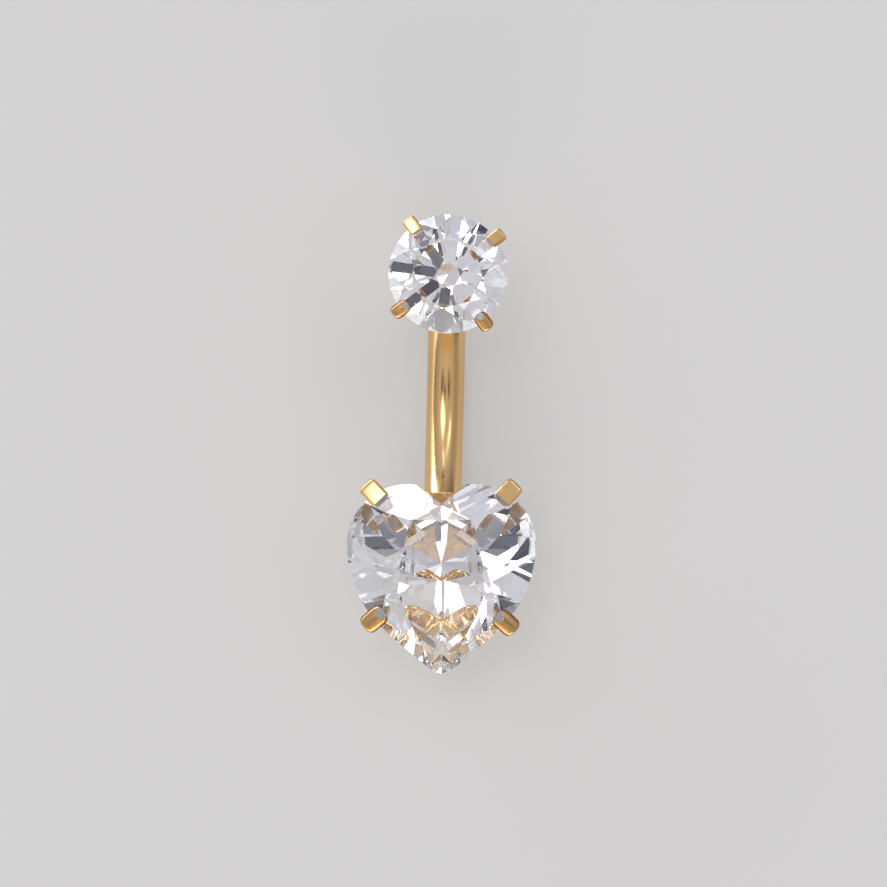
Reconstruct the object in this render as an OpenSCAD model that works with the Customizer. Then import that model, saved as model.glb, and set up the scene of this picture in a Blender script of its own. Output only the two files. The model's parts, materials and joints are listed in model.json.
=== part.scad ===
// Navel ring: a curved bar that carries a heart stone at its lower end and, on a head that screws
// onto its upper end, a round stone. It lies on its back as it rests by itself: the stones face +Z,
// +Y runs from the heart to the round stone, and the origin is under the middle of the whole ring.

/* [Bar] */
// Diameter of the bar
bar_d = 1.6; // [1.4:0.05:1.8]
// Length of the bar between its two settings, measured straight
bar_length = 8; // [7:0.5:11]
// Radius of the bar's bend, at its centre line
bar_bend_r = 8.5; // [7.5:0.5:11]
// Diameter of the threaded end that the head screws onto
thread_d = 1.2; // [1:0.05:1.25]
// Length of the threaded end
thread_length = 2.1; // [1.6:0.1:2.3]
// Length of the taper at the tip of the threaded end
thread_lead = 0.15; // [0.05:0.05:0.3]

/* [Heart stone] */
// Width of the heart, across its lobes
heart_w = 8; // [7:0.25:9]
// Height of the lobes' tops over the middle of the heart
heart_top = 3.96; // [3.7:0.02:4.2]
// Depth of the heart's tip under its middle
heart_tip = 4.04; // [3.9:0.02:4.4]
// Radius of the round part of each lobe
lobe_r = 2.6; // [2.4:0.05:2.8]
// Radius of the long curve from each lobe to the tip
side_r = 5.15; // [4.9:0.05:5.6]
// Half width of the blunt end of the tip
tip_half_w = 0.43; // [0.2:0.01:0.6]
// Height of the cleft's root over the middle of the heart
cleft_y = 3.12; // [2.9:0.02:3.3]
// Slope of each wall of the cleft, seen from the front
cleft_slope = 38; // [32:1:44]
// Lean of the cleft's walls away from upright
cleft_lean = 2; // [0:1:8]
// Height of the culet over the middle of the heart
heart_culet_y = 0.6; // [0.4:0.05:0.8]
// Width of the heart's table
heart_table_w = 4.1; // [3.6:0.1:4.8]
// Height of the table's own centre over the middle of the heart
heart_table_y = 1.1; // [0.8:0.05:1.4]
// Height of the heart's crown
heart_crown_h = 1.25; // [1:0.05:1.35]
// Thickness of the heart's girdle
heart_girdle_h = 0.25; // [0.15:0.05:0.35]
// Depth of the heart's pavilion, down to where its main facets would meet
heart_pavilion_h = 2.8; // [2.7:0.05:3]
// Share of the way from the table to the girdle that the heart's star facets take up
heart_star_share = 0.4; // [0.35:0.05:0.5]
// Share of the way from the girdle to the culet that its lower girdle facets take up
heart_lower_share = 0.5; // [0.45:0.05:0.75]
// Turn of the heart in its prongs
heart_turn = 1.5; // [0:0.5:2]

/* [Heart setting] */
// Height of that meeting point over the surface that the ring lies on
heart_lift = 1; // [0.9:0.05:1.1]
// Width of each heart prong
heart_prong_w = 0.84; // [0.7:0.02:0.95]
// Reach of each heart prong over the stone
heart_prong_over = 0.56; // [0.4:0.02:0.7]
// Reach of each heart prong outside the stone
heart_prong_out = 0.54; // [0.4:0.02:0.65]
// Direction of the upper right prong from the culet, over level
upper_right_az = 48; // [44:1:50]
// Direction of the upper left prong from the culet, over level
upper_left_az = 45; // [42:1:49]
// Direction of the two lower prongs from the culet, under level
lower_prong_az = 41; // [36:1:44]
// Half width of the base
base_half_w = 2; // [1.8:0.05:2.2]
// Thickness of the base
base_h = 0.55; // [0.4:0.05:0.7]
// Width of the base's rim around its opening
base_rim = 0.75; // [0.6:0.05:0.9]
// Height of the rail's underside over the resting surface
heart_rail_z = 1.7; // [1.4:0.05:1.8]
// Height of the rail's own band
heart_rail_h = 0.45; // [0.35:0.05:0.55]
// Thickness of the rail's wall
heart_rail_wall = 0.5; // [0.4:0.05:0.6]
// Height of the lug's end, where the bar enters it, over the root of the cleft
lug_y = 0.48; // [0.3:0.02:0.7]
// Width of the lug
lug_w = 1.9; // [1.7:0.05:2.2]
// Length of the lug
lug_length = 1.7; // [1.6:0.1:2]

/* [Round stone] */
// Diameter of the round stone
round_d = 5; // [4.5:0.1:5.4]
// Width of its table, corner to corner
round_table_d = 2.93; // [2.6:0.05:3.1]
// Height of its crown
round_crown_h = 0.71; // [0.6:0.01:0.8]
// Thickness of its girdle
round_girdle_h = 0.15; // [0.1:0.05:0.2]
// Depth of its pavilion
round_pavilion_h = 2.15; // [2:0.05:2.25]
// Share of the way from the table to the girdle that the round stone's star facets take up
round_star_share = 0.5; // [0.4:0.05:0.6]
// Share of the way from the girdle to the culet that its lower girdle facets take up
round_lower_share = 0.77; // [0.6:0.01:0.8]

/* [Head] */
// Height of the round stone's girdle over the bar's upper end
round_lift = 4.05; // [3.95:0.05:4.4]
// Distance of the round stone's centre past the bar's upper end
round_y = 1.2; // [1:0.05:1.4]
// Turn of the head's prongs and stone about the stone's axis
head_turn = -7; // [-12:1:12]
// Width of each head prong
head_prong_w = 0.6; // [0.5:0.02:0.8]
// Reach of each head prong over the stone
head_prong_over = 0.4; // [0.35:0.05:0.6]
// Reach of each head prong outside the stone
head_prong_out = 0.4; // [0.3:0.05:0.5]
// Diameter of the threaded boss
boss_d = 2.1; // [1.9:0.05:2.3]
// Length of the threaded boss
boss_length = 2.55; // [2.5:0.05:2.8]
// Diameter of the collet under the stone
collet_d = 2.3; // [2.1:0.05:2.5]
// Depth of the collet's rim under the stone's girdle
collet_drop = 1.95; // [1.85:0.05:2.1]
// Depth of the head's rail under the stone's girdle
head_rail_drop = 1.05; // [1:0.05:1.2]
// Height of the head's rail
head_rail_h = 0.4; // [0.3:0.05:0.5]
// Thickness of the head's rail
head_rail_wall = 0.36; // [0.3:0.02:0.45]

/* [Fits] */
// Gap between each stone and the metal that holds it
stone_gap = 0.07; // [0.06:0.01:0.09]
// Gap around the threaded end, on each side
thread_gap = 0.03; // [0.02:0.01:0.06]
// Gap between the bar's shoulder and the boss
shoulder_gap = 0.03; // [0.02:0.01:0.06]

/* [Hidden] */
$fn = 64;

// Edge of the blocks that trim the stones, well over their size
block = 30;
// Metal that one shape shares with the next where they are joined
join = 0.2;

function unit(az) = [cos(az), sin(az)];

// Reach of an outline in one direction, and the point of it that reaches there
function reach(outline, az) = max([for (p = outline) p * unit(az)]);
function corner(outline, az) =
    let (far = reach(outline, az)) [for (p = outline) if (p * unit(az) > far - 1e-6) p][0];

// A facet is [azimuth, reach, height, tilt of its outward side from straight up]
function plane_slope(table, outline, crown_h, az) =
    crown_h / (reach(outline, az) - reach(table, az));
function crown_at(table, outline, crown_h, azimuths, p) =
    min([for (az = azimuths)
        (reach(outline, az) - p * unit(az)) * plane_slope(table, outline, crown_h, az)]);
function depth_at(outline, pavilion_h, azimuths, p) =
    min([for (az = azimuths) (1 - p * unit(az) / reach(outline, az)) * pavilion_h]);

// The star and the two upper girdle facets between two main facets of the crown
function crown_gap(table, outline, crown_h, girdle_h, star_share, a, b) =
    let (
        va = corner(table, a),
        vb = corner(table, b),
        edge = vb - va,
        az = atan2(-edge.x, edge.y),
        inner = va * unit(az),
        tip_r = inner + star_share * (reach(outline, az) - inner),
        tip = tip_r * unit(az),
        tip_h = crown_at(table, outline, crown_h, [a, b], tip)
    )
    concat(
        [[az, inner, girdle_h / 2 + crown_h, atan((crown_h - tip_h) / (tip_r - inner))]],
        [for (q = [0.25, 0.75]) let (side = a + q * (b - a), far = reach(outline, side))
            [side, far, girdle_h / 2, atan(tip_h / (far - tip * unit(side)))]]
    );

// The two lower girdle facets between two main facets of the pavilion
function pavilion_gap(outline, pavilion_h, girdle_h, lower_share, a, b) =
    let (
        az = (a + b) / 2,
        tip = (1 - lower_share) * reach(outline, az) * unit(az),
        depth = depth_at(outline, pavilion_h, [a, b], tip)
    )
    [for (q = [0.25, 0.75]) let (side = a + q * (b - a), far = reach(outline, side))
        [side, far, -girdle_h / 2, 180 - atan(depth / (far - tip * unit(side)))]];

// The table, the main facets that face the azimuths in mains, and the facets between them
function crown(table, outline, crown_h, girdle_h, star_share, mains) = concat(
    [[0, 0, girdle_h / 2 + crown_h, 0]],
    [for (az = mains) [az, reach(outline, az), girdle_h / 2,
        atan(plane_slope(table, outline, crown_h, az))]],
    [for (i = [1:len(mains) - 1], f = crown_gap(table, outline, crown_h, girdle_h, star_share,
        mains[i - 1], mains[i])) f]
);
function pavilion(outline, pavilion_h, girdle_h, lower_share, mains) = concat(
    [for (az = mains) [az, reach(outline, az), -girdle_h / 2,
        180 - atan(pavilion_h / reach(outline, az))]],
    [for (i = [1:len(mains) - 1], f = pavilion_gap(outline, pavilion_h, girdle_h, lower_share,
        mains[i - 1], mains[i])) f]
);

// Heights of a cut stone's upper and lower surfaces over its girdle, at a point seen from above
function top_of(facets, p) =
    min([for (f = facets) if (f[3] < 90) f[2] + (f[1] - p * unit(f[0])) * tan(f[3])]);
function under_of(facets, p) =
    max([for (f = facets) if (f[3] > 90) f[2] - (f[1] - p * unit(f[0])) * tan(180 - f[3])]);

// Right half of the heart's outline, seen from the front, about its culet, and all of it without
// its cleft
lobe_c = [heart_w / 2 - lobe_r, heart_top - lobe_r - heart_culet_y];
side_az = -3;
side_end_az = -50;
lobe_start_az = acos(-lobe_c.x / lobe_r);
side_c = lobe_c + (lobe_r - side_r) * unit(side_az);
side_end = side_c + side_r * unit(side_end_az);
tip_side = [tip_half_w, side_end.y + (side_end.x - tip_half_w) / tan(side_end_az)];
heart_half = concat(
    [for (i = [0:20]) lobe_c + lobe_r * unit(lobe_start_az + (side_az - lobe_start_az) * i / 20)],
    [for (i = [1:8]) side_c + side_r * unit(side_az + (side_end_az - side_az) * i / 8)],
    [tip_side, [0, -heart_tip - heart_culet_y]]
);
heart_outline = concat(heart_half,
    [for (i = [len(heart_half) - 2:-1:1]) [-heart_half[i].x, heart_half[i].y]]);
heart_table = [for (p = heart_outline)
    [0, heart_table_y - heart_culet_y]
    + (p - [0, heart_table_y - heart_culet_y]) * heart_table_w / heart_w];
// Direction of the pavilion's main facet behind the cleft; none faces the tip, which has a keel
cleft_main_az = 104.5;
heart_facets = concat(
    crown(heart_table, heart_outline, heart_crown_h, heart_girdle_h, heart_star_share,
        [-90, -46, -12, 22, 67, 112]),
    pavilion(heart_outline, heart_pavilion_h, heart_girdle_h, heart_lower_share,
        [-130, -50, 0, 57, cleft_main_az])
);

// Number of main facets of the round stone, on its crown and on its pavilion
round_mains = 8;
// Outline of the round stone, with a corner at each azimuth that its facets face
round_outline = [for (i = [0:63]) round_d / 2 * unit(i * 360 / 64)];
round_table = [for (p = round_outline) p * round_table_d / round_d];
round_azimuths = [for (i = [0:round_mains]) i * 360 / round_mains];
round_facets = concat(
    crown(round_table, round_outline, round_crown_h, round_girdle_h, round_star_share,
        round_azimuths),
    pavilion(round_outline, round_pavilion_h, round_girdle_h, round_lower_share, round_azimuths)
);

// Places, with the middle of the heart at x = 0, y = 0 and the resting surface at z = 0
heart_z = heart_lift + heart_pavilion_h + heart_girdle_h / 2;
bar_half_az = asin(bar_length / 2 / bar_bend_r);
bar_start_y = cleft_y + lug_y;
bar_centre = [bar_start_y + bar_length / 2, bar_d / 2 + bar_bend_r];
bar_end_z = bar_centre[1] - bar_bend_r * cos(bar_half_az);
bury_az = asin(bar_d / 2 / bar_bend_r) * 1.5;
seat_slope = atan(heart_pavilion_h / reach(heart_outline, cleft_main_az)) - 5;
round_place = [0, bar_start_y + bar_length + round_y, bar_end_z + round_lift];
middle_y = (round_place.y + round_d / 2 - heart_tip) / 2;

// The inner side of one facet, as a block
module inside(facet) {
    rotate([0, 0, facet[0]]) translate([facet[1], 0, facet[2]]) rotate([0, facet[3], 0])
        translate([-block / 2, -block / 2, -block]) cube(block);
}

// The outline given as children, raised through the stone's height and cut to its facets
module cut_stone(facets, crown_h, girdle_h, pavilion_h) {
    intersection() {
        translate([0, 0, -girdle_h / 2 - pavilion_h])
            linear_extrude(pavilion_h + girdle_h + crown_h) children();
        intersection_for (f = facets) inside(f);
    }
}

module half_heart() {
    intersection() {
        cut_stone(heart_facets, heart_crown_h, heart_girdle_h, heart_pavilion_h)
            polygon(heart_half);
        inside([90 + cleft_slope, (cleft_y - heart_culet_y) * cos(cleft_slope), 0,
            90 - cleft_lean]);
    }
}

module heart_stone() {
    color([0.93, 0.93, 0.96]) translate([0, heart_culet_y, heart_z]) rotate([0, 0, heart_turn]) {
        half_heart();
        mirror([1, 0, 0]) half_heart();
    }
}

module round_stone() {
    color([0.93, 0.93, 0.96]) translate(round_place) rotate([0, 0, head_turn])
        cut_stone(round_facets, round_crown_h, round_girdle_h, round_pavilion_h)
            circle(d = round_d);
}

// One prong, as a bar with this side view: its claw lies on the crown, its stem runs down outside
// the pavilion, and its foot ends at foot_r and foot_z, measured from the middle of the girdle
module prong(facets, edge_r, az, width, over, out, claw_h, foot_r, foot_z, girdle_h) {
    function highest(r) = max([for (w = [-width / 2, 0, width / 2])
        top_of(facets, r * unit(az) + w * unit(az + 90))]);
    function lowest(r) = min([for (w = [-width / 2, 0, width / 2])
        under_of(facets, r * unit(az) + w * unit(az + 90))]);
    tip_r = edge_r - over;
    mid_r = edge_r - over / 2;
    outer_r = edge_r + out;
    rotate([0, 0, az]) rotate([90, 0, 0]) linear_extrude(width, center = true) polygon([
        [tip_r, highest(tip_r) + stone_gap],
        [mid_r, highest(mid_r) + stone_gap],
        [edge_r + stone_gap, girdle_h / 2 + stone_gap],
        [edge_r + stone_gap, -girdle_h / 2 - stone_gap],
        [(edge_r + foot_r) / 2, lowest((edge_r + foot_r) / 2) - 3 * stone_gap],
        [foot_r, lowest(foot_r) - 3 * stone_gap],
        [foot_r, foot_z],
        [foot_r + out, foot_z],
        [outer_r - out / 4, -girdle_h / 2 - claw_h * 2],
        [outer_r, -girdle_h / 2],
        [outer_r, girdle_h / 2 + claw_h],
        [outer_r - out / 2, girdle_h / 2 + claw_h * 1.7],
        [tip_r + over / 4, highest(tip_r) + stone_gap + claw_h],
        [tip_r, highest(tip_r) + stone_gap + claw_h * 0.75]
    ]);
}

// A band that follows the heart, from its outer share down by a wall
module heart_band(outer_share, wall, height) {
    linear_extrude(height) difference() {
        scale(outer_share) polygon(heart_outline);
        scale(outer_share - 2 * wall / heart_w) polygon(heart_outline);
    }
}

// What follows stands on the bar's upper end, with +Z along the threaded end
module at_bar_end() {
    translate([0, bar_start_y + bar_length, bar_end_z]) rotate([bar_half_az - 90, 0, 0]) children();
}

// The bar runs on past its lower end by bury_az, into the lug, and ends at its upper end in a thread
module curved_bar() {
    translate([0, bar_centre[0], bar_centre[1]]) rotate([90, 0, 90])
        rotate([0, 0, -90 - bar_half_az - bury_az])
            rotate_extrude(angle = 2 * bar_half_az + bury_az)
                translate([bar_bend_r, 0]) circle(d = bar_d);
    at_bar_end() {
        translate([0, 0, -join])
            cylinder(d = thread_d, h = join + thread_length - thread_lead);
        translate([0, 0, thread_length - thread_lead])
            cylinder(d1 = thread_d, d2 = thread_d - 2 * thread_lead, h = thread_lead);
    }
}

// The bar and the lug that it is soldered into, both trimmed to lie clear behind the heart
module bar_and_lug() {
    intersection() {
        union() {
            curved_bar();
            translate([-lug_w / 2, bar_start_y - lug_length, 0])
                cube([lug_w, lug_length, heart_z]);
        }
        translate([0, heart_culet_y, heart_lift - 4 * stone_gap]) rotate([seat_slope, 0, 0])
            translate([-block / 2, -block / 2, -block]) cube(block);
    }
}

module heart_setting() {
    rail_share = heart_rail_z + heart_rail_h - heart_lift;
    rail_outer = rail_share / heart_pavilion_h + 2 * (heart_rail_wall + 9 * stone_gap) / heart_w;
    translate([0, heart_culet_y, 0]) {
        heart_band(2 * base_half_w / heart_w, base_rim, base_h);
        translate([0, 0, heart_rail_z]) heart_band(rail_outer, heart_rail_wall, heart_rail_h);
        for (claw = [[upper_right_az, 0], [upper_left_az, 1], [-lower_prong_az, 0],
            [-lower_prong_az, 1]]) mirror([claw[1], 0, 0]) translate([0, 0, heart_z])
                prong(heart_facets, reach(heart_half, claw[0]), claw[0], heart_prong_w,
                    heart_prong_over, heart_prong_out, heart_prong_out * 0.7,
                    base_half_w - heart_prong_out, -heart_z, heart_girdle_h);
    }
}

module bar_and_heart_setting() {
    color([0.8, 0.62, 0.36]) {
        bar_and_lug();
        heart_setting();
    }
}

module screw_on_head() {
    color([0.8, 0.62, 0.36]) difference() {
        union() {
            at_bar_end() translate([0, 0, shoulder_gap])
                cylinder(d = boss_d, h = boss_length - shoulder_gap);
            translate([round_place.x, round_place.y, bar_end_z + boss_d / 2])
                cylinder(d = collet_d, h = round_lift - collet_drop - boss_d / 2);
            translate(round_place) rotate([0, 0, head_turn]) {
                translate([0, 0, -head_rail_drop - head_rail_h]) difference() {
                    rail_share = 1 - (head_rail_drop - round_girdle_h) / round_pavilion_h;
                    rail_r = round_d / 2 * rail_share + 2 * stone_gap + head_rail_wall;
                    cylinder(r = rail_r, h = head_rail_h);
                    translate([0, 0, -join]) cylinder(r = rail_r - head_rail_wall,
                        h = head_rail_h + 2 * join);
                }
                for (i = [0:3]) prong(round_facets, round_d / 2, 45 + 90 * i, head_prong_w,
                    head_prong_over, head_prong_out, head_prong_out * 0.75,
                    collet_d / 2 - head_prong_out, -collet_drop - join, round_girdle_h);
            }
        }
        translate(round_place)
            translate([0, 0, -round_girdle_h / 2 - round_pavilion_h - 2 * stone_gap])
                cylinder(r1 = 0, r2 = round_d / 2 / cos(180 / round_mains), h = round_pavilion_h);
        at_bar_end() translate([0, 0, -join])
            cylinder(d = thread_d + 2 * thread_gap, h = join + thread_length + 2 * thread_gap);
    }
}

translate([0, -middle_y, 0]) {
    bar_and_heart_setting();
    heart_stone();
    screw_on_head();
    round_stone();
}
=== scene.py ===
"""The looks of a navel ring: gold-tone metal and clear cut stones, on a plain pale floor."""

import json
import math

import bmesh
import bpy
from bpy.props import FloatProperty, FloatVectorProperty, PointerProperty
from bpy.types import Operator, Panel, PropertyGroup
from mathutils import Matrix, Vector, noise
from mathutils.bvhtree import BVHTree


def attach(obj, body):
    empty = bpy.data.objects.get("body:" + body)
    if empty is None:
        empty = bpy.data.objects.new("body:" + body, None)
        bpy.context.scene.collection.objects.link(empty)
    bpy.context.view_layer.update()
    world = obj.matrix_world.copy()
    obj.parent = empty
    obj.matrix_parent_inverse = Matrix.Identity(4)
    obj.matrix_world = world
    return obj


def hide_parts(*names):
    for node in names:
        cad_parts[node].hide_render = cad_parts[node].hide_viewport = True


bl_info = {
    "name": "Navel Ring",
    "version": (1, 0, 0),
    "blender": (4, 5, 0),
    "location": "View3D > Sidebar > Navel Ring",
    "description": "Finishes a curved navel ring with a heart stone and a round stone",
    "category": "Object",
}

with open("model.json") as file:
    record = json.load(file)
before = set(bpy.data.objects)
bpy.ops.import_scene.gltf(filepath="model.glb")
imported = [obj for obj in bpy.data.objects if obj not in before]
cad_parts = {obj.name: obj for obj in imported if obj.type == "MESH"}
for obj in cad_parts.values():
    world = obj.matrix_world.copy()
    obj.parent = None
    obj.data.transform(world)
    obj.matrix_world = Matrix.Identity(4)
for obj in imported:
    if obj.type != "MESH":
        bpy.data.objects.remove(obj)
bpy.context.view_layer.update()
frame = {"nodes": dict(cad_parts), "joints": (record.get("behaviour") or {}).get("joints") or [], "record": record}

MM = 0.001
SAME_POINT = 0.0005 * MM  # points nearer than this are one
SAME_CORNER = 0.0002 * MM  # the same for the corners of a stone's facets
FLAT = 0.002  # faces whose directions differ by less, in radians, are one
STONE_GAP = 0.07 * MM  # between a stone and the claws on it
PAVILION_GAP = 3 * STONE_GAP  # between a stone's underside and the metal below it
ROUND_STEPS = 72  # round a turned piece, and along the bar
RING, TOP = "ring", "top"
RING_NODE, HEAD_NODE = "bar_and_heart_setting", "screw_on_head"
# Azimuths of the heart's claws about its culet, in degrees
HEART_CLAWS = {"upper_right": 48, "upper_left": 135, "lower_left": 221, "lower_right": -41}
X, Y, Z = Vector((1, 0, 0)), Vector((0, 1, 0)), Vector((0, 0, 1))


def unit(azimuth, elevation=0):
    """The direction at an azimuth, from +X towards +Y, and an elevation, both in degrees."""
    turn, rise = math.radians(azimuth), math.radians(elevation)
    level = math.cos(rise)
    return Vector((math.cos(turn) * level, math.sin(turn) * level, math.sin(rise)))


# Places that the frame gives


class CutStone:
    """A stone of the frame as one merged, closed mesh, with the measures its setting follows."""

    def __init__(self, node):
        self.node = node
        self.bm = bm = bmesh.new()
        bm.from_mesh(frame["nodes"][node].data)
        bmesh.ops.remove_doubles(bm, verts=bm.verts, dist=SAME_CORNER)
        bmesh.ops.dissolve_limit(bm, angle_limit=FLAT, verts=bm.verts, edges=bm.edges)
        upright, sideways = 0.02, 0.97  # for the directions of the girdle's faces
        walls = [f for f in bm.faces if abs(f.normal.z) < upright]
        sides = [v.co.z for f in walls if abs(f.normal.x) > sideways for v in f.verts]
        self.girdle_low, self.girdle_high = min(sides), max(sides)
        self.outline = [v.co.copy() for f in walls for v in f.verts]
        self.width = max(p.x for p in self.outline) - min(p.x for p in self.outline)
        self.culet = min((v.co for v in bm.verts), key=lambda p: p.z).copy()
        self.middle = Vector((*self.culet.xy, (self.girdle_low + self.girdle_high) / 2))
        self.tree = BVHTree.FromBMesh(bm)

    def reach(self, azimuth):
        """Distance from the culet's axis to the outline's furthest point in one direction."""
        return max((p - self.middle).dot(unit(azimuth)) for p in self.outline)

    def surface(self, azimuth, r, width, above):
        """Height over the girdle's middle of the stone's crown, or of its underside, along the
        width of a claw at an azimuth and a distance from the culet's axis."""
        up, far = Z if above else -Z, 20 * MM
        heights = []
        for side in (-width / 2, 0, width / 2):
            p = self.middle + unit(azimuth) * r + unit(azimuth + 90) * side
            hit = self.tree.ray_cast(p + up * far, -up)[0]
            if hit is not None:
                heights.append(hit.z - self.middle.z)
        if not heights:
            return (self.girdle_high if above else self.girdle_low) - self.middle.z
        return max(heights) if above else min(heights)


HEART = CutStone("heart_stone")
ROUND = CutStone("round_stone")
SCREW_AXIS = Vector(frame["joints"][0]["axis"]).normalized()
BAR_MOUNT = next(m for m in frame["record"]["mounts"] if m["name"] == "piercing_bar")
BAR_MIDDLE = Vector(BAR_MOUNT["pos_m"])
BAR_R = BAR_MOUNT["dims"]["r_mm"] * MM
BAR_LENGTH = BAR_MOUNT["dims"]["length_mm"] * MM
BAR_HALF_TURN = math.asin(SCREW_AXIS.z)
BEND_R = BAR_LENGTH / 2 / SCREW_AXIS.z
BEND_CENTRE = BAR_MIDDLE + Z * BEND_R
BAR_START, BAR_END = (BEND_CENTRE + Matrix.Rotation(turn, 3, X) @ (-Z * BEND_R)
                      for turn in (-BAR_HALF_TURN, BAR_HALF_TURN))
AT_BAR_END = Matrix.Translation(BAR_END) @ Z.rotation_difference(SCREW_AXIS).to_matrix().to_4x4()


# The studio's light


WARM, COOL, WHITE = (1.0, 0.95, 0.88), (0.93, 0.96, 1.0), (1.0, 1.0, 1.0)
TAN, NIGHT = (1.0, 0.76, 0.53), (0.5, 0.6, 1.0)
SOFT_EDGE = 0.03  # half of what a soft box's edge takes to fade, as the tangent of an angle
# Soft boxes and dark cards round the ring, a later one in front of an earlier one: azimuth and
# elevation of its middle, width and height, all in degrees, then its brightness and its tint
SOFTBOXES = {
    "left_window": (135, 5, 70, 26, 6.0, COOL),
    "left_low": (190, 7, 80, 14, 1.3, COOL),
    "right_low": (5, 12, 60, 24, 0.45, WHITE),
    "front_low": (255, 11, 100, 28, 2.0, WARM),
    "front_card": (270, 48, 70, 28, 0.62, TAN),
    "front_strip": (272, 31, 46, 10, 6.0, WARM),
    "back_high": (60, 57, 46, 11, 2.9, COOL),
    "back_card": (40, 67, 54, 22, 0.6, WHITE),
    "camera_card": (205, 84, 13, 13, 0.08, NIGHT),
    "left_card": (202, 68, 15, 12, 0.07, NIGHT),
    "right_card": (338, 68, 15, 12, 0.07, NIGHT),
    "back_low": (92, 38, 12, 9, 0.05, WHITE),
    "claw_light": (135, 73, 21, 16, 4.0, WHITE),
}


# Sizes and colours that a user would change


def length(name, text, default_mm, least=0.0):
    return FloatProperty(name=name, description=text, default=default_mm * MM, min=least,
                         precision=5, unit="LENGTH", subtype="DISTANCE")


def colour(name, text, default):
    return FloatVectorProperty(name=name, description=text, default=default, size=3,
                               min=0.0, max=1.0, subtype="COLOR")


def share(name, text, default):
    return FloatProperty(name=name, description=text, default=default, min=0.0, max=1.0,
                         subtype="FACTOR")


def angle(name, text, default_degrees):
    return FloatProperty(name=name, description=text, default=math.radians(default_degrees),
                         subtype="ANGLE", unit="ROTATION")


class BarSizes(PropertyGroup):
    thread_d: length("Thread", "Outer diameter of the threaded end", 1.2)
    thread_pitch: length("Pitch", "Distance between two turns of the thread", 0.25)
    thread_length: length("Thread length", "Length of the threaded end", 2.1)
    chamfer: length("Chamfer", "Chamfer of the bar's shoulder and of the thread's tip", 0.08)
    lug_w: length("Lug width", "Width of the lug that the bar is soldered into", 1.9)
    lug_length: length("Lug length", "Length of the lug along the bar", 1.7)
    lug_round: length("Lug rounding", "Rounding of the lug's edges", 0.09)
    lug_grain: length("Lug grain", "Depth of the rough texture on the lug", 0.035)


class HeartSettingSizes(PropertyGroup):
    lobe_r: length("Lobe", "Radius of the round part of each lobe of the heart", 2.6)
    side_r: length("Side", "Radius of the long curve from each lobe to the tip", 5.15)
    tip_half_w: length("Tip", "Half width of the blunt end of the heart's tip", 0.43)
    claw_w: length("Claw width", "Width of each claw", 0.84)
    claw_over: length("Claw reach", "Reach of each claw over the stone", 0.56)
    claw_out: length("Claw depth", "Depth of each claw outside the stone", 0.54)
    claw_h: length("Claw height", "Thickness of the claw where it lies on the stone", 0.378)
    claw_corner: length("Flat claw corners", "Rounding of a flat claw's corners from above", 0.2)
    dome_corner: length("Domed claw corners", "Rounding of a domed claw's corners from above", 0.34)
    claw_round: length("Claw rounding", "Rounding of the claws' edges", 0.1)
    claw_dome: length("Claw dome", "Fall of the two lower claws' tops from middle to sides", 0.12)
    facet_length: length("Facet", "Length of the plane facet on each flat claw", 0.2)
    dome_facet: length("Domed facet", "Length of the plane facet on each domed claw", 0.4)
    facet_lean: angle("Facet lean", "Lean of the claws' facets towards the stone", 1.5)
    base_half_w: length("Base", "Half width of the base", 2.0)
    base_rim: length("Base rim", "Width of the base's rim", 0.75)
    base_h: length("Base height", "Thickness of the base", 0.55)
    rail_z: length("Rail place", "Height of the rail over the resting surface", 1.7)
    rail_h: length("Rail height", "Height of the rail's band", 0.45)
    rail_wall: length("Rail wall", "Thickness of the rail's wall", 0.5)
    rail_share: share("Rail size", "Size of the rail's outline, as a share of the heart's", 0.693)
    band_round: length("Band rounding", "Rounding of the edges of the base and rail", 0.1)


class HeadSizes(PropertyGroup):
    turn: angle("Turn", "Turn of the head's claws about the round stone", -7)
    claw_w: length("Claw width", "Width of each claw", 0.6)
    claw_over: length("Claw reach", "Reach of each claw over the stone", 0.4)
    claw_out: length("Claw depth", "Depth of each claw outside the stone", 0.4)
    claw_h: length("Claw height", "Thickness of the claw where it lies on the stone", 0.3)
    claw_corner: length("Flat claw corners", "Rounding of a flat claw's corners from above", 0.16)
    dome_corner: length("Domed claw corners", "Rounding of a domed claw's corners from above", 0.2)
    claw_round: length("Claw rounding", "Rounding of the claws' edges", 0.09)
    claw_dome: length("Claw dome", "Fall of the two lower claws' tops from middle to sides", 0.1)
    facet_length: length("Facet", "Length of the plane facet on each flat claw", 0.16)
    dome_facet: length("Domed facet", "Length of the plane facet on each domed claw", 0.3)
    facet_lean: angle("Facet lean", "Lean of the claws' facets towards the stone", 1.5)
    boss_d: length("Boss", "Outer diameter of the threaded boss", 2.1)
    boss_length: length("Boss length", "Length of the threaded boss", 2.55)
    bore_d: length("Bore", "Diameter of the boss's bore", 1.26)
    bore_depth: length("Bore depth", "Depth of the boss's bore", 2.16)
    collet_d: length("Collet", "Diameter of the collet under the stone", 2.3)
    collet_drop: length("Collet drop", "Depth of the collet's rim under the girdle", 1.95)
    rail_drop: length("Rail drop", "Depth of the rail under the girdle", 1.05)
    rail_h: length("Rail height", "Height of the rail", 0.4)
    rail_wall: length("Rail wall", "Thickness of the rail's wall", 0.36)
    shoulder_gap: length("Shoulder gap", "Gap between the bar's shoulder and the boss", 0.03)
    rounding: length("Rounding", "Rounding of the boss, collet and rail", 0.06)


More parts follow.
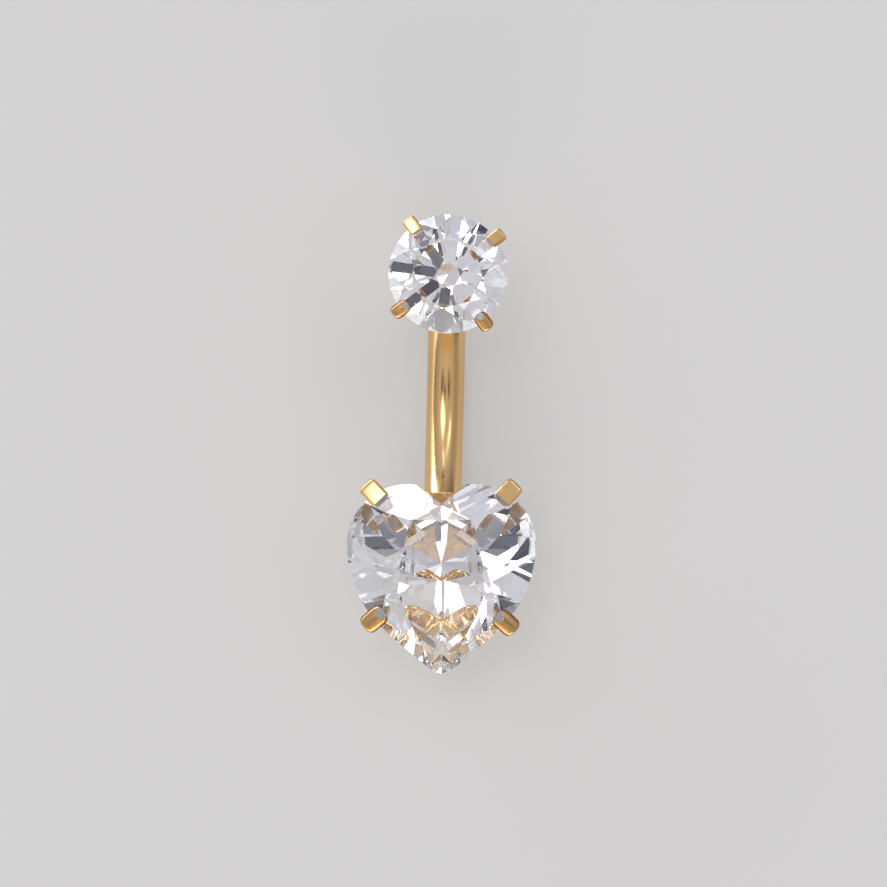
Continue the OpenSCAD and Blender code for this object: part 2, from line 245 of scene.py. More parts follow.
class Finish(PropertyGroup):
    gold: colour("Gold", "Colour of the gold-tone coating", (0.86, 0.58, 0.27))
    # Painted shade: the satin claws' gold is a darker copy of the polished gold
    satin_gold_shaded: colour("Satin gold", "Colour of the satin claws", (0.54, 0.34, 0.15))
    # Deeper gold: a random drift of the coating's own tone, and painted shade in pits and in the rough solder's
    # hollows
    deep_gold_and_shade: colour("Deep gold", "Colour of the coating where it is thicker", (0.80, 0.48, 0.19))
    # Painted highlight, with rubbing wear, on the tops of the rough solder
    rubbed_gold_and_highlight: colour("Rubbed gold", "Colour of the tops of the rough metal", (1.0, 0.74, 0.4))
    polish: share("Polish", "Roughness of the polished settings", 0.1)
    bar_polish: share("Bar polish", "Roughness of the bar and its thread", 0.15)
    satin: share("Satin", "Roughness of the two lower claws of each setting", 0.26)
    surface: share("Surface", "Strength of the fine texture of the gold and the steel", 0.12)
    cast: share("Cast", "Roughness of the rough solder", 0.3)
    steel: colour("Steel", "Colour of the steel where the coating is off", (0.52, 0.51, 0.49))
    steel_dark: colour("Dark steel", "Colour of the marks on the bare steel", (0.30, 0.29, 0.28))
    clear: colour("Stone", "Colour of the clear stones", (0.975, 0.97, 1.0))
    clear_shade: colour("Stone shade", "Colour of the stones' frosted girdles", (0.86, 0.87, 0.9))
    stone_ior: FloatProperty(name="Stone index", description="Index of refraction of the stones",
                             default=2.15, min=1.0, max=3.0)


class StageSettings(PropertyGroup):
    floor: colour("Floor", "Colour of the floor", (0.38, 0.38, 0.38))
    floor_light: share("Floor light", "Light of the floor's own, as of a light table", 0.315)
    walls: colour("Walls", "Light that the walls give back", (0.16, 0.16, 0.19))
    ceiling: colour("Ceiling", "Light that the ceiling gives back", (0.69, 0.685, 0.73))
    light: FloatProperty(name="Light", description="Strength of the whole studio light",
                         default=1.0, min=0.0)
    distance: length("Distance", "Distance from the camera to the stones", 400)
    frame_w: length("Frame width", "Width of the frame at the height of the girdles", 37.39)
    aim_x: length("Aim X", "Place that the camera aims at, to the side", -0.03, least=-1.0)
    aim_y: length("Aim Y", "Place that the camera aims at, along the ring", 0.04, least=-1.0)
    roll: angle("Roll", "Lean of the ring's top to the right, in the frame", 1.36)


# Meshes


def finish_piece(name, bm, materials, body, node, sharp_degrees=35):
    """Makes the bmesh an object, shades it, hangs it on its body's empty and hides the CAD part that it stands in
    for.
    """
    for face in bm.faces:
        face.smooth = face.material_index == 0
    for edge in bm.edges:
        edge.smooth = edge.calc_face_angle(math.pi) < math.radians(sharp_degrees)
    mesh = bpy.data.meshes.new(name)
    bm.to_mesh(mesh)
    bm.free()
    for material in materials:
        mesh.materials.append(material)
    piece = bpy.data.objects.new(name, mesh)
    bpy.context.scene.collection.objects.link(piece)
    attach(piece, body)
    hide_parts(node)
    return piece


def even_shading(piece):
    """Lets the large faces of a bevelled piece keep their own direction in its smooth shading."""
    piece.modifiers.new("even_shading", "WEIGHTED_NORMAL").keep_sharp = True


def verts_of(geom):
    return [g for g in geom if isinstance(g, bmesh.types.BMVert)]


def edges_of(geom):
    return [g for g in geom if isinstance(g, bmesh.types.BMEdge)]


def loop_through(bm, points):
    """A closed loop of edges through the points."""
    verts = [bm.verts.new(p) for p in points]
    return verts + [bm.edges.new(pair) for pair in zip(verts, verts[1:] + verts[:1])]


def sharp_edges(bm, least_degrees=40):
    least = math.radians(least_degrees)
    return [e for e in bm.edges if e.is_manifold and e.calc_face_angle() > least]


def round_edges(bm, edges, rounding, segments=4, clamp=True):
    bmesh.ops.bevel(bm, geom=edges, offset=rounding, offset_type="OFFSET", segments=segments,
                    profile=0.5, affect="EDGES", clamp_overlap=clamp, material=-1)


def cut_faces(bm, point, outward, clear=False):
    """Cuts the faces that a plane crosses and, if asked, clears what lies past it."""
    bmesh.ops.bisect_plane(bm, geom=bm.verts[:] + bm.edges[:] + bm.faces[:], dist=SAME_POINT,
                           plane_co=point, plane_no=outward, clear_outer=clear)


def trim(bm, point, outward):
    """Cuts off what lies past a plane, closes the cut and returns its faces."""
    cut_faces(bm, point, outward, clear=True)
    rim = [e for e in bm.edges if e.is_boundary]
    return bmesh.ops.holes_fill(bm, edges=rim, sides=0)["faces"]


def plate(points, width):
    """An outline of (x, z) points, extruded by a width along Y, half to each side."""
    bm = bmesh.new()
    outline = loop_through(bm, [Vector((x, -width / 2, z)) for x, z in points])
    faces = bmesh.ops.contextual_create(bm, geom=outline)["faces"]
    moved = bmesh.ops.extrude_face_region(bm, geom=faces)["geom"]
    bmesh.ops.translate(bm, vec=Y * width, verts=verts_of(moved))
    bmesh.ops.recalc_face_normals(bm, faces=bm.faces)
    return bm


def lathed(points):
    """A solid turned about the Z axis from a closed outline of (radius, height) points."""
    bm = bmesh.new()
    outline = loop_through(bm, [Vector((r, 0, z)) for r, z in points])
    bmesh.ops.spin(bm, geom=outline, cent=Vector(), axis=Z, dvec=Vector(), angle=math.tau,
                   steps=ROUND_STEPS, use_merge=True)
    bmesh.ops.remove_doubles(bm, verts=bm.verts, dist=SAME_POINT)
    bmesh.ops.recalc_face_normals(bm, faces=bm.faces)
    return bm


def place(bm, matrix):
    bmesh.ops.transform(bm, matrix=matrix, verts=bm.verts)


def claw(stone, azimuth, sizes, foot_r, foot_z, domed):
    """A claw: it lies on the crown, runs down outside the pavilion and ends at foot_r and foot_z.
    Its top is flat or domed across, and its inner end is ground down to a plane facet."""
    w, over, out, h = sizes.claw_w, sizes.claw_over, sizes.claw_out, sizes.claw_h
    edge_r = stone.reach(azimuth)
    half = (stone.girdle_high - stone.girdle_low) / 2
    tip_r, mid_r, knee_r = edge_r - over, edge_r - over / 2, (edge_r + foot_r) / 2
    inner_r, outer_r = edge_r + STONE_GAP, edge_r + out
    tip_z, mid_z = (stone.surface(azimuth, r, w, True) + STONE_GAP for r in (tip_r, mid_r))
    knee_z, under_z = (stone.surface(azimuth, r, w, False) - PAVILION_GAP
                       for r in (knee_r, foot_r))
    shoulder_z, waist_z, taper = half + 1.7 * h, -half - 2 * h, out / 4
    bm = plate([
        (tip_r, tip_z), (mid_r, mid_z), (inner_r, half + STONE_GAP), (inner_r, -half - STONE_GAP),
        (knee_r, knee_z), (foot_r, under_z), (foot_r, foot_z), (foot_r + out, foot_z),
        (outer_r - taper, waist_z), (outer_r, -half), (outer_r, shoulder_z), (tip_r, tip_z + h),
    ], w)
    round_edges(bm, claw_corners(bm, w, half + 2 * STONE_GAP),
                sizes.dome_corner if domed else sizes.claw_corner)
    round_edges(bm, sharp_edges(bm), sizes.claw_round, clamp=False)
    if domed:
        dome_top(bm, w, half, sizes.claw_dome)
    facet = sizes.dome_facet if domed else sizes.facet_length
    facet_z = tip_z + h - facet * (tip_z + h - shoulder_z) / (over + out)
    leaning = Matrix.Rotation(-sizes.facet_lean, 3, Y) @ Z
    for face in trim(bm, Vector((tip_r + facet, 0, facet_z)), leaning):
        face.material_index = 1
    place(bm, Matrix.Translation(stone.middle) @ Matrix.Rotation(math.radians(azimuth), 4, Z))
    return bm


def claw_corners(bm, width, crown_z):
    """The long edges at both sides of a claw's back, and of its inner end over the crown."""
    back, end = 0.5, -0.9  # least and most X of the directions in which they face
    found = {e for f in bm.faces if f.normal.x > back for e in f.edges}
    found |= {e for f in bm.faces if f.normal.x < end for e in f.edges
              if e.verts[0].co.z > crown_z}
    return [e for e in bm.edges
            if e in found and abs(e.verts[1].co.y - e.verts[0].co.y) < width / 2]


def dome_top(bm, width, low, fall):
    """Lets the top of a claw fall from its middle to its sides, and its rounded edges less."""
    strips, upward = 12, 0.2
    for i in range(1 - strips // 2, strips // 2):
        cut_faces(bm, Y * width * i / strips, Y)
    bm.normal_update()
    for v in bm.verts:
        if v.co.z > low and v.normal.z > upward:
            v.co.z -= fall * (2 * v.co.y / width) ** 2 * min(v.normal.z * 2, 1)


def heart_loop(bm, sizes, scale, z):
    """A closed loop along the heart's outline, without its cleft, scaled about the culet."""
    mid = HEART.middle
    top_y = max(p.y for p in HEART.outline) - mid.y
    tip_y = min(p.y for p in HEART.outline) - mid.y
    lobe = Vector((HEART.width / 2 - sizes.lobe_r, top_y - sizes.lobe_r, 0))
    flat, steep = -3, -50  # where the lobe, and then the side, ends: directions in degrees
    side = lobe + (sizes.lobe_r - sizes.side_r) * unit(flat)
    start = math.degrees(math.acos(-lobe.x / sizes.lobe_r))
    half = [bm.verts.new(lobe + sizes.lobe_r * unit(start))]
    last = half
    for centre, turn, steps in ((lobe, start - flat, 20), (side, flat - steep, 8)):
        before = set(bm.verts)
        spun = bmesh.ops.spin(bm, geom=last, cent=centre, axis=Z, dvec=Vector(),
                              angle=-math.radians(turn), steps=steps)
        last = verts_of(spun["geom_last"])
        half += [v for v in bm.verts if v not in before]
    end = last[0].co
    corner_y = end.y + (end.x - sizes.tip_half_w) / math.tan(math.radians(steep))
    for target in (Vector((sizes.tip_half_w, corner_y, 0)), Vector((0, tip_y, 0))):
        last = bmesh.ops.extrude_vert_indiv(bm, verts=last)["verts"]
        last[0].co = target
        half += last
    edges = list({e for v in half for e in v.link_edges})
    copied = bmesh.ops.duplicate(bm, geom=half + edges)["geom"]
    bmesh.ops.scale(bm, vec=(-1, 1, 1), verts=verts_of(copied))
    both = half + verts_of(copied)
    bmesh.ops.scale(bm, vec=(scale, scale, 1), verts=both)
    bmesh.ops.translate(bm, vec=(mid.x, mid.y, z), verts=both)


def heart_band(sizes, outer, wall, low, height):
    """A band that follows the heart: its outer side at a share of the outline, its wall inside."""
    bm = bmesh.new()
    for scale in (outer, outer - 2 * wall / HEART.width):
        heart_loop(bm, sizes, scale, low)
    bmesh.ops.remove_doubles(bm, verts=bm.verts, dist=SAME_POINT)
    faces = bmesh.ops.bridge_loops(bm, edges=bm.edges[:])["faces"]
    moved = bmesh.ops.extrude_face_region(bm, geom=faces)["geom"]
    bmesh.ops.translate(bm, vec=Z * height, verts=verts_of(moved))
    bmesh.ops.recalc_face_normals(bm, faces=bm.faces)
    round_edges(bm, sharp_edges(bm, 60), sizes.band_round)
    return bm


def curved_bar(sizes, seat):
    """The bar, swept along its bend from inside the lug to the shoulder that the head meets."""
    bm = bmesh.new()
    buried = 1.5 * math.asin(BAR_R / BEND_R)  # how much further it turns, inside the lug
    across = Matrix.Translation(BAR_MIDDLE) @ Matrix.Rotation(math.radians(90), 4, X)
    ring = bmesh.ops.create_circle(bm, cap_ends=True, segments=64, radius=BAR_R, matrix=across)
    turn = Matrix.Rotation(-BAR_HALF_TURN - buried, 3, X)
    bmesh.ops.rotate(bm, cent=BEND_CENTRE, matrix=turn, verts=ring["verts"])
    spun = bmesh.ops.spin(bm, geom=ring["verts"] + bm.edges[:], cent=BEND_CENTRE, axis=X,
                          dvec=Vector(), angle=2 * BAR_HALF_TURN + buried, steps=ROUND_STEPS)
    shoulder = edges_of(spun["geom_last"])
    bmesh.ops.contextual_create(bm, geom=shoulder)
    bmesh.ops.recalc_face_normals(bm, faces=bm.faces)
    round_edges(bm, shoulder, sizes.chamfer, 3)
    trim(bm, *seat)
    return bm


def screw_thread(sizes):
    """The threaded end: a zigzag line along the screw axis, spun once with a rise of one turn.
    It starts half a pitch inside the bar, and its tip is chamfered."""
    bm = bmesh.new()
    pitch, crest = sizes.thread_pitch, sizes.thread_d / 2
    depth, root_end, crest_start, crest_end = 0.6, 0.12, 0.44, 0.56  # as shares of the pitch
    root = crest - depth * pitch
    verts = []
    for i in range(-2, math.ceil(sizes.thread_length / pitch) + 1):
        for r, z in ((root, 0), (root, root_end), (crest, crest_start), (crest, crest_end)):
            verts.append(bm.verts.new((r, 0, (i + z) * pitch)))
    edges = [bm.edges.new(pair) for pair in zip(verts, verts[1:])]
    steps = 40
    bmesh.ops.spin(bm, geom=verts + edges, cent=Vector(), axis=Z, dvec=Z * pitch / steps,
                   angle=math.tau, steps=steps)
    bmesh.ops.remove_doubles(bm, verts=bm.verts, dist=SAME_POINT)
    bmesh.ops.recalc_face_normals(bm, faces=bm.faces)
    for end, outward in ((-0.5 * pitch, -Z), (sizes.thread_length, Z)):
        trim(bm, Z * end, outward)
    for v in bm.verts:
        past = v.co.z - (sizes.thread_length - 2 * sizes.chamfer)
        r = v.co.xy.length
        if past > 0 and r > crest - past:
            v.co.xy *= (crest - past) / r
    bmesh.ops.recalc_face_normals(bm, faces=bm.faces)
    place(bm, AT_BAR_END)
    return bm


def lug(sizes, seat):
    """The lug that the bar is soldered into, with the grain of rough solder all over it."""
    bm = bmesh.new()
    height = HEART.middle.z
    bmesh.ops.create_cube(bm, size=1.0)
    bmesh.ops.scale(bm, vec=(sizes.lug_w, sizes.lug_length, height), verts=bm.verts)
    bmesh.ops.translate(bm, vec=(0, BAR_START.y - sizes.lug_length / 2, height / 2),
                        verts=bm.verts)
    trim(bm, *seat)
    round_edges(bm, sharp_edges(bm), sizes.lug_round, 3)
    bmesh.ops.triangulate(bm, faces=bm.faces)
    longest = 0.09 * MM  # edge that stays whole
    for _ in range(4):
        long = [e for e in bm.edges if e.calc_length() > longest]
        bmesh.ops.subdivide_edges(bm, edges=long, cuts=1)
        bmesh.ops.triangulate(bm, faces=bm.faces)
    bm.normal_update()
    coarse, fine, fine_share = 6, 13, 0.6  # grains to a millimetre
    for v in bm.verts:
        if v.co.z > sizes.lug_grain:
            p = v.co / MM
            grain = noise.noise(p * coarse) + fine_share * noise.noise(p * fine)
            v.co += v.normal * grain * sizes.lug_grain
    return bm


def seat_plane():
    """A point and the upward direction of the plane that clears the heart behind its cleft."""
    near, far = 1.0 * MM, 2.3 * MM
    low, high = (HEART.surface(90, r, 0, False) for r in (near, far))
    along = Vector((0, far - near, high - low)).normalized()
    outward = X.cross(along)
    return HEART.middle + Vector((0, near, low)) - outward * PAVILION_GAP, outward


def head_boss(sizes):
    """The boss with its bore, turned about the screw axis."""
    r, bore, c = sizes.boss_d / 2, sizes.bore_d / 2, sizes.rounding
    start, end = sizes.shoulder_gap, sizes.boss_length
    bm = lathed([(bore + c, start), (r - c, start), (r, start + c), (r, end - c), (r - c, end),
                 (0, end), (0, sizes.bore_depth), (bore, sizes.bore_depth), (bore, start + c)])
    place(bm, AT_BAR_END)
    return bm


def without_bore(bm, sizes):
    """Cuts the boss's bore through a solid and returns what is left of it."""
    cutter = bmesh.new()
    bmesh.ops.create_cone(cutter, cap_ends=True, segments=ROUND_STEPS, radius1=sizes.bore_d / 2,
                          radius2=sizes.bore_d / 2, depth=2 * sizes.bore_depth, matrix=AT_BAR_END)
    solids = []
    for solid in (bm, cutter):
        mesh = bpy.data.meshes.new("solid")
        solid.to_mesh(mesh)
        solid.free()
        solids.append(bpy.data.objects.new("solid", mesh))
        bpy.context.scene.collection.objects.link(solids[-1])
    cut = solids[0].modifiers.new("bore", "BOOLEAN")
    cut.operation, cut.object = "DIFFERENCE", solids[1]
    left = bmesh.new()
    left.from_object(solids[0], bpy.context.evaluated_depsgraph_get())
    for solid in solids:
        bpy.data.meshes.remove(solid.data)
    return left


def head_collet(sizes):
    """The round foot of the head, hollowed in a cone that clears the stone, with the bore cut
    through where it meets the boss."""
    r, c = sizes.collet_d / 2, sizes.rounding
    low = BAR_END.z + sizes.boss_d / 2
    under = ROUND.surface(0, r, 0, False) + ROUND.middle.z
    rim = min(ROUND.middle.z - sizes.collet_drop, under)
    apex = ROUND.culet.z - 2 * STONE_GAP
    mouth = max((rim - apex) * r / (under - ROUND.culet.z), 0)
    bm = lathed([(0, low), (r - c, low), (r, low + c), (r, rim - c), (r - c, rim), (mouth, rim),
                 (0, apex)])
    place(bm, Matrix.Translation((ROUND.middle.x, ROUND.middle.y, 0)))
    return without_bore(bm, sizes)


def head_rail(sizes):
    """The ring that ties the head's claws together."""
    high, c = -sizes.rail_drop, 1.5 * sizes.rounding
    low, d = high - sizes.rail_h, c * (1 - math.sqrt(0.5))
    depth = ROUND.girdle_low - ROUND.culet.z
    inner = (depth + high) / depth * ROUND.reach(0) + 2 * STONE_GAP
    outer = inner + sizes.rail_wall
    bm = lathed([(inner, low + c), (inner + d, low + d), (inner + c, low), (outer - c, low),
                 (outer - d, low + d), (outer, low + c), (outer, high - c), (outer - d, high - d),
                 (outer - c, high), (inner + c, high), (inner + d, high - d), (inner, high - c)])
    place(bm, Matrix.Translation(ROUND.middle))
    return bm


# Materials


class Socket:
    """One output of a shader node. Expressions on it add the Math nodes that they need."""

    def __init__(self, graph, output):
        self.graph, self.output = graph, output

    def _with(self, operation, *values):
        return self.graph.node("ShaderNodeMath", {"operation": operation},
                               dict(enumerate(values)))

    def __add__(self, other): return self._with("ADD", self, other)
    def __radd__(self, other): return self._with("ADD", other, self)
    def __sub__(self, other): return self._with("SUBTRACT", self, other)
    def __rsub__(self, other): return self._with("SUBTRACT", other, self)
    def __mul__(self, other): return self._with("MULTIPLY", self, other)
    def __rmul__(self, other): return self._with("MULTIPLY", other, self)
    def __truediv__(self, other): return self._with("DIVIDE", self, other)
    def __rtruediv__(self, other): return self._with("DIVIDE", other, self)
    def __abs__(self): return self._with("ABSOLUTE", self)


class Graph:
    """The node tree of a material or of the world."""

    MIX_A, MIX_B, MIX_RESULT = 6, 7, 2  # the sockets of a Mix node that are for colours

    def __init__(self, owner):
        owner.use_nodes = True
        self.owner, self.tree = owner, owner.node_tree
        self.tree.nodes.clear()

    def node(self, kind, settings, inputs, output=0):
        """Makes a node: its settings first, then the values or links of its sockets."""
        made = self.tree.nodes.new(kind)
        for key, value in settings.items():
            setattr(made, key, value)
        for key, value in inputs.items():
            socket = made.inputs[key]
            if isinstance(value, Socket):
                self.tree.links.new(value.output, socket)
            else:
                socket.default_value = value
        return Socket(self, made.outputs[output]) if made.outputs else None

    def mix(self, factor, a, b):
        """A colour between a and b."""
        a, b = (c if isinstance(c, Socket) else (*c, 1) for c in (a, b))
        return self.node("ShaderNodeMix", {"data_type": "RGBA"},
                         {0: factor, self.MIX_A: a, self.MIX_B: b}, self.MIX_RESULT)

    def coordinates(self, kind):
        return self.node("ShaderNodeTexCoord", {}, {}, kind)

    def vector(self, operation, inputs, output=0):
        return self.node("ShaderNodeVectorMath", {"operation": operation}, inputs, output)

    def dot(self, vector, direction):
        return self.vector("DOT_PRODUCT", {0: vector, 1: direction}, "Value")

    def texture_place(self):
        """Places on the piece, in millimetres."""
        return self.vector("SCALE", {0: self.coordinates("Object"), "Scale": 1 / MM})

    def noise(self, place, scale, detail):
        return self.node("ShaderNodeTexNoise", {},
                         {"Vector": place, "Scale": scale, "Detail": detail})

    def lines(self, place, squeeze, scale, detail):
        """Noise in lines, squeezed by an amount along each axis."""
        return self.noise(self.vector("MULTIPLY", {0: place, 1: squeeze}), scale, detail)

    def step(self, value, start, end):
        """0 below start and 1 above end, with a smooth rise between them."""
        return self.node("ShaderNodeMapRange", {"interpolation_type": "SMOOTHSTEP"},
                         {"Value": value, "From Min": start, "From Max": end})

    def bump(self, height, strength, depth):
        return self.node("ShaderNodeBump", {},
                         {"Strength": strength, "Distance": depth, "Height": height})

    def material(self, inputs):
        """Ends the tree in a Principled shader with these inputs and returns its material."""
        shader = self.node("ShaderNodeBsdfPrincipled", {}, inputs)
        self.node("ShaderNodeOutputMaterial", {}, {"Surface": shader})
        return self.owner


def gold_material(name, finish, polish, gold):
    """Gold-tone coating with fine polishing lines along the bar's bend, small pits painted a deeper gold as shade,
    and a drift of colour."""
    g = Graph(bpy.data.materials.new(name))
    place = g.texture_place()
    drift = g.noise(place, scale=0.5, detail=2)
    patina = g.step(drift, start=0.35, end=0.7)
    pits = g.step(g.noise(place, scale=5.5, detail=3), start=0.6, end=0.72)
    lines = g.lines(place, (34, 2.5, 24), scale=1.0, detail=3)
    smears = g.step(g.noise(place, scale=1.6, detail=4), start=0.45, end=0.75)
    return g.material({
        # Painted shade: the pits take the deeper gold; the drift is the coating's own tone
        "Base Color": g.mix(patina * 0.55 + pits * 0.25, gold, finish.deep_gold_and_shade),
        "Metallic": 1.0,
        "Roughness": polish + lines * 0.05 + smears * 0.07 + pits * 0.1,
        "Normal": g.bump(lines * 0.3 + pits * -0.5 + drift, finish.surface, depth=0.03 * MM),
    })


def steel_material(name, finish):
    """The bare steel of a claw's facet, where the coating is ground off: fine lines and stains."""
    g = Graph(bpy.data.materials.new(name))
    place = g.texture_place()
    lines = g.lines(place, (9, 2, 1), scale=4.0, detail=2)
    stains = g.step(g.noise(place, scale=1.5, detail=3), start=0.35, end=0.75)
    return g.material({
        "Base Color": g.mix(lines * 0.4 + stains * 0.5, finish.steel, finish.steel_dark),
        "Metallic": 1.0,
        "Roughness": lines * 0.1 + 0.2,
        "Normal": g.bump(lines, finish.surface, depth=0.02 * MM),
    })


def cast_material(name, finish):
    """Rough solder under the same coating: grains, painted shade in the hollows, and tops brighter from rubbing
    wear and painted highlight.
    """
    g = Graph(bpy.data.materials.new(name))
    place = g.texture_place()
    grains = g.noise(place, scale=11.0, detail=3)
    height = g.noise(place, scale=4.0, detail=4) * 0.5 + grains * 0.5
    tops = g.step(height, start=0.42, end=0.58)
    return g.material({
        # Painted shade and highlight: the hollows take the deeper gold, the tops the brighter one
        "Base Color": g.mix(tops, finish.deep_gold_and_shade, finish.rubbed_gold_and_highlight),
        "Metallic": 0.8,
        "Roughness": finish.cast + grains * 0.2 - tops * 0.1,
        "Normal": g.bump(height, strength=1.0, depth=0.12 * MM),
    })


def stone_material(name, finish):
    """Clear stone: polished facets, a frosted girdle and the faintest polishing haze."""
    g = Graph(bpy.data.materials.new(name))
    place = g.texture_place()
    upright = g.dot(g.coordinates("Normal"), Z)
    girdle = 1 - g.step(upright * upright, start=0.002, end=0.02)
    frost = g.noise(place, scale=12.0, detail=3)
    haze = g.step(g.noise(place, scale=2.0, detail=3), start=0.55, end=0.8)
    return g.material({
        "Base Color": g.mix(girdle * 0.25 + haze * 0.02, finish.clear, finish.clear_shade),
        "Roughness": girdle * (frost * 0.3 + 0.15),
        "IOR": finish.stone_ior,
        "Transmission Weight": 1.0,
    })


def setting_materials(gold_name, claw_name, finish):
    """The polished gold of a setting, the satin gold of its lower claws, painted darker as shade, and its facets'
    steel.
    """
    return (gold_material(gold_name, finish, finish.polish, finish.gold),
            gold_material(claw_name + "_gold", finish, finish.satin, finish.satin_gold_shaded),
            steel_material(claw_name + "_facet", finish))


def floor_material(stage):
    """The plain floor: matt, with some light of its own."""
    return Graph(bpy.data.materials.new("pale_floor")).material({
        "Base Color": (*stage.floor, 1),
        "Roughness": 0.9,
        "Specular IOR Level": 0.0,
        "Emission Color": (1, 1, 1, 1),
        "Emission Strength": stage.floor_light,
    })


def studio_light(g, stage):
    """The room around the ring: dim walls, a pale ceiling, and soft boxes and dark cards."""
    direction = g.coordinates("Generated")
    rise = g.step(g.dot(direction, Z), start=0.1, end=0.95)
    colour = g.mix(rise, stage.walls, stage.ceiling)
    for azimuth, elevation, width, height, brightness, tint in SOFTBOXES.values():
        middle, right = unit(azimuth, elevation), unit(azimuth + 90)
        ahead = g.dot(direction, middle)
        lit = g.step(ahead, start=0.0, end=0.05)
        for side, size in ((right, width), (middle.cross(right), height)):
            edge = math.tan(math.radians(size / 2))
            aside = abs(g.dot(direction, side) / ahead)
            lit = lit * g.step(aside, start=edge + SOFT_EDGE, end=edge - SOFT_EDGE)
        colour = g.mix(lit, colour, [c * brightness for c in tint])
    light = g.node("ShaderNodeBackground", {}, {"Color": colour, "Strength": stage.light})
    g.node("ShaderNodeOutputWorld", {}, {"Surface": light})


# Operators


class NAVELRING_OT_stones(Operator):
    """Finish both cut stones"""
    bl_idname = "navelring.stones"
    bl_label = "Stones"

    def execute(self, context):
        for stone, body, slot in (
            (HEART, RING, "clear_heart_stone"),
            (ROUND, TOP, "clear_round_stone"),
        ):
            material = stone_material(slot, context.scene.navelring_finish)
            finish_piece(stone.node + "_cut", stone.bm.copy(), (material,), body,
                         stone.node, sharp_degrees=1)
        return {"FINISHED"}


class NAVELRING_OT_bar(Operator):
    """Build the curved bar, its threaded end and the lug that it is soldered into"""
    bl_idname = "navelring.bar"
    bl_label = "Bar"

    def execute(self, context):
        sizes, finish = context.scene.navelring_bar, context.scene.navelring_finish
        seat = seat_plane()
        polished = gold_material("bar_gold", finish, finish.bar_polish, finish.gold)
        rough = cast_material("solder_gold", finish)
        for name, bm, material in (
            ("curved_bar", curved_bar(sizes, seat), polished),
            ("bar_thread", screw_thread(sizes), polished),
            ("bar_lug", lug(sizes, seat), rough),
        ):
            finish_piece(name, bm, (material,), RING, RING_NODE)
        return {"FINISHED"}


class NAVELRING_OT_heart_setting(Operator):
    """Build the base, the rail and the four claws that hold the heart stone"""
    bl_idname = "navelring.heart_setting"
    bl_label = "Heart Setting"

    def execute(self, context):
        sizes, finish = context.scene.navelring_heart, context.scene.navelring_finish
        # satin: the lower claws' gold, painted darker as shade
        polished, satin, ground = setting_materials("heart_setting_gold", "heart_claw", finish)
        base = heart_band(sizes, 2 * sizes.base_half_w / HEART.width, sizes.base_rim, 0,
                          sizes.base_h)
        rail = heart_band(sizes, sizes.rail_share, sizes.rail_wall, sizes.rail_z, sizes.rail_h)
        pieces = [("heart_base", base, (polished,)), ("heart_rail", rail, (polished,))]
        foot_r, foot_z = sizes.base_half_w - sizes.claw_out, -HEART.middle.z
        for name, azimuth in HEART_CLAWS.items():
            lower = name.startswith("lower")
            pieces.append(("heart_claw_" + name,
                           claw(HEART, azimuth, sizes, foot_r, foot_z, domed=lower),
                           (satin if lower else polished, ground)))
        for name, bm, materials in pieces:
            even_shading(finish_piece(name, bm, materials, RING, RING_NODE))
        return {"FINISHED"}


class NAVELRING_OT_head(Operator):
    """Build the head that screws onto the bar: its boss, collet, rail and four claws"""
    bl_idname = "navelring.head"
    bl_label = "Screw-on Head"

    def execute(self, context):
        sizes, finish = context.scene.navelring_head, context.scene.navelring_finish
        # satin: the lower claws' gold, painted darker as shade
        polished, satin, ground = setting_materials("head_gold", "head_claw", finish)
        pieces = [("head_boss", head_boss(sizes), (polished,)),
                  ("head_collet", head_collet(sizes), (polished,)),
                  ("head_rail", head_rail(sizes), (polished,))]
        past_rim = 0.2 * MM
        foot_r, foot_z = sizes.collet_d / 2 - sizes.claw_out, -sizes.collet_drop - past_rim
        for i in range(4):
            lower = i > 1
            azimuth = 45 + 90 * i + math.degrees(sizes.turn)
            pieces.append((f"head_claw_{i + 1}",
                           claw(ROUND, azimuth, sizes, foot_r, foot_z, domed=lower),
                           (satin if lower else polished, ground)))
        for name, bm, materials in pieces:
            even_shading(finish_piece(name, bm, materials, TOP, HEAD_NODE))
        return {"FINISHED"}


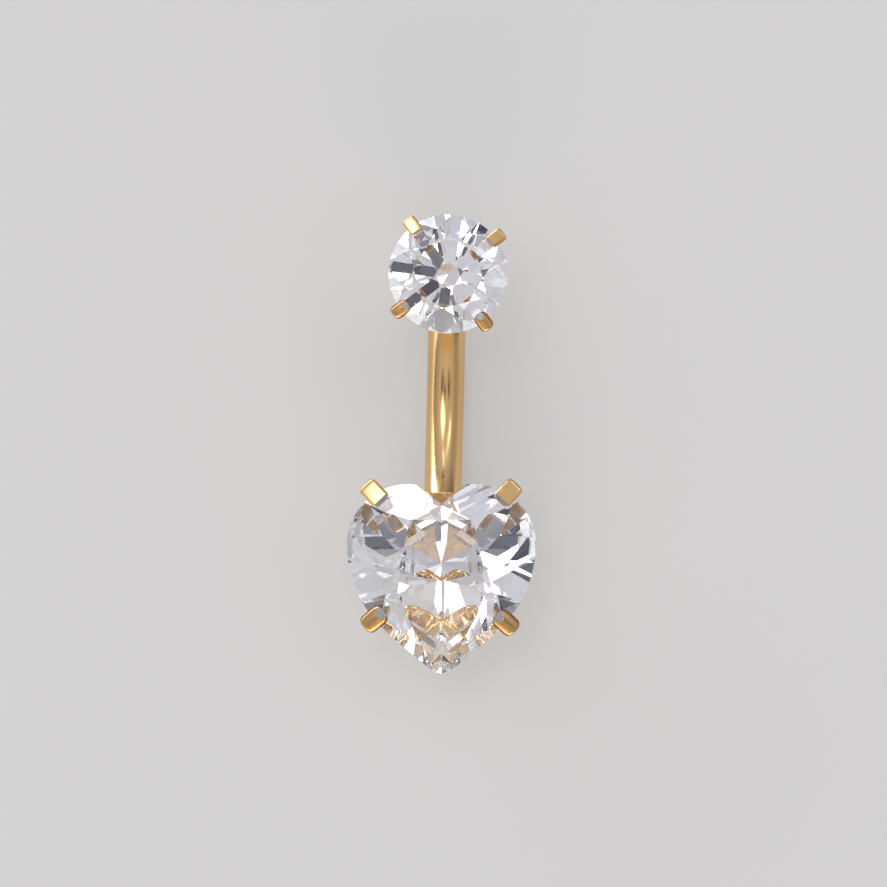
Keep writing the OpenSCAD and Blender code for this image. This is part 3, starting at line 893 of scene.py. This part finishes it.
class NAVELRING_OT_stage(Operator):
    """Set up the floor, the light and the camera"""
    bl_idname = "navelring.stage"
    bl_label = "Stage"

    def execute(self, context):
        stage = context.scene.navelring_stage
        bm = bmesh.new()
        bmesh.ops.create_grid(bm, x_segments=1, y_segments=1, size=1.0)
        mesh = bpy.data.meshes.new("floor")
        bm.to_mesh(mesh)
        bm.free()
        mesh.materials.append(floor_material(stage))
        floor = bpy.data.objects.new("floor", mesh)
        context.scene.collection.objects.link(floor)

        level = (HEART.middle.z + ROUND.middle.z) / 2
        lens = bpy.data.cameras.new("camera")
        lens.sensor_width = 36
        lens.lens = lens.sensor_width * stage.distance / stage.frame_w
        lens.clip_start, lens.clip_end = 0.01, 10
        camera = bpy.data.objects.new("camera", lens)
        camera.location = (stage.aim_x, stage.aim_y, level + stage.distance)
        camera.rotation_euler = (0, 0, stage.roll)
        context.scene.collection.objects.link(camera)
        context.scene.camera = camera

        world = bpy.data.worlds.new("studio")
        context.scene.world = world
        studio_light(Graph(world), stage)
        context.scene.view_settings.view_transform = "Standard"
        context.scene.cycles.max_bounces = 32
        context.scene.cycles.transmission_bounces = 32
        context.scene.cycles.glossy_bounces = 12
        return {"FINISHED"}


class NAVELRING_PT_steps(Panel):
    """The steps that build the ring, in order, each with the sizes that it uses"""
    bl_idname = "NAVELRING_PT_steps"
    bl_label = "Navel Ring"
    bl_space_type = "VIEW_3D"
    bl_region_type = "UI"
    bl_category = "Navel Ring"

    def draw(self, context):
        for step, group in STEPS.items():
            box = self.layout.box()
            box.operator(step)
            settings = getattr(context.scene, group)
            for name in GROUPS[group].__annotations__:
                box.prop(settings, name)


CLASSES = (BarSizes, HeartSettingSizes, HeadSizes, Finish, StageSettings,
           NAVELRING_OT_bar, NAVELRING_OT_heart_setting, NAVELRING_OT_head, NAVELRING_OT_stones,
           NAVELRING_OT_stage, NAVELRING_PT_steps)
GROUPS = {"navelring_bar": BarSizes, "navelring_heart": HeartSettingSizes,
          "navelring_head": HeadSizes, "navelring_finish": Finish, "navelring_stage": StageSettings}
STEPS = {"navelring.stage": "navelring_stage", "navelring.bar": "navelring_bar",
         "navelring.heart_setting": "navelring_heart", "navelring.head": "navelring_head",
         "navelring.stones": "navelring_finish"}


def register():
    for cls in CLASSES:
        bpy.utils.register_class(cls)
    for name, group in GROUPS.items():
        setattr(bpy.types.Scene, name, PointerProperty(type=group))


def unregister():
    for name in GROUPS:
        delattr(bpy.types.Scene, name)
    for cls in reversed(CLASSES):
        bpy.utils.unregister_class(cls)


def main():
    register()
    bpy.ops.navelring.stage()
    bpy.ops.navelring.bar()
    bpy.ops.navelring.heart_setting()
    bpy.ops.navelring.head()
    bpy.ops.navelring.stones()


if __name__ == "__main__":
    main()
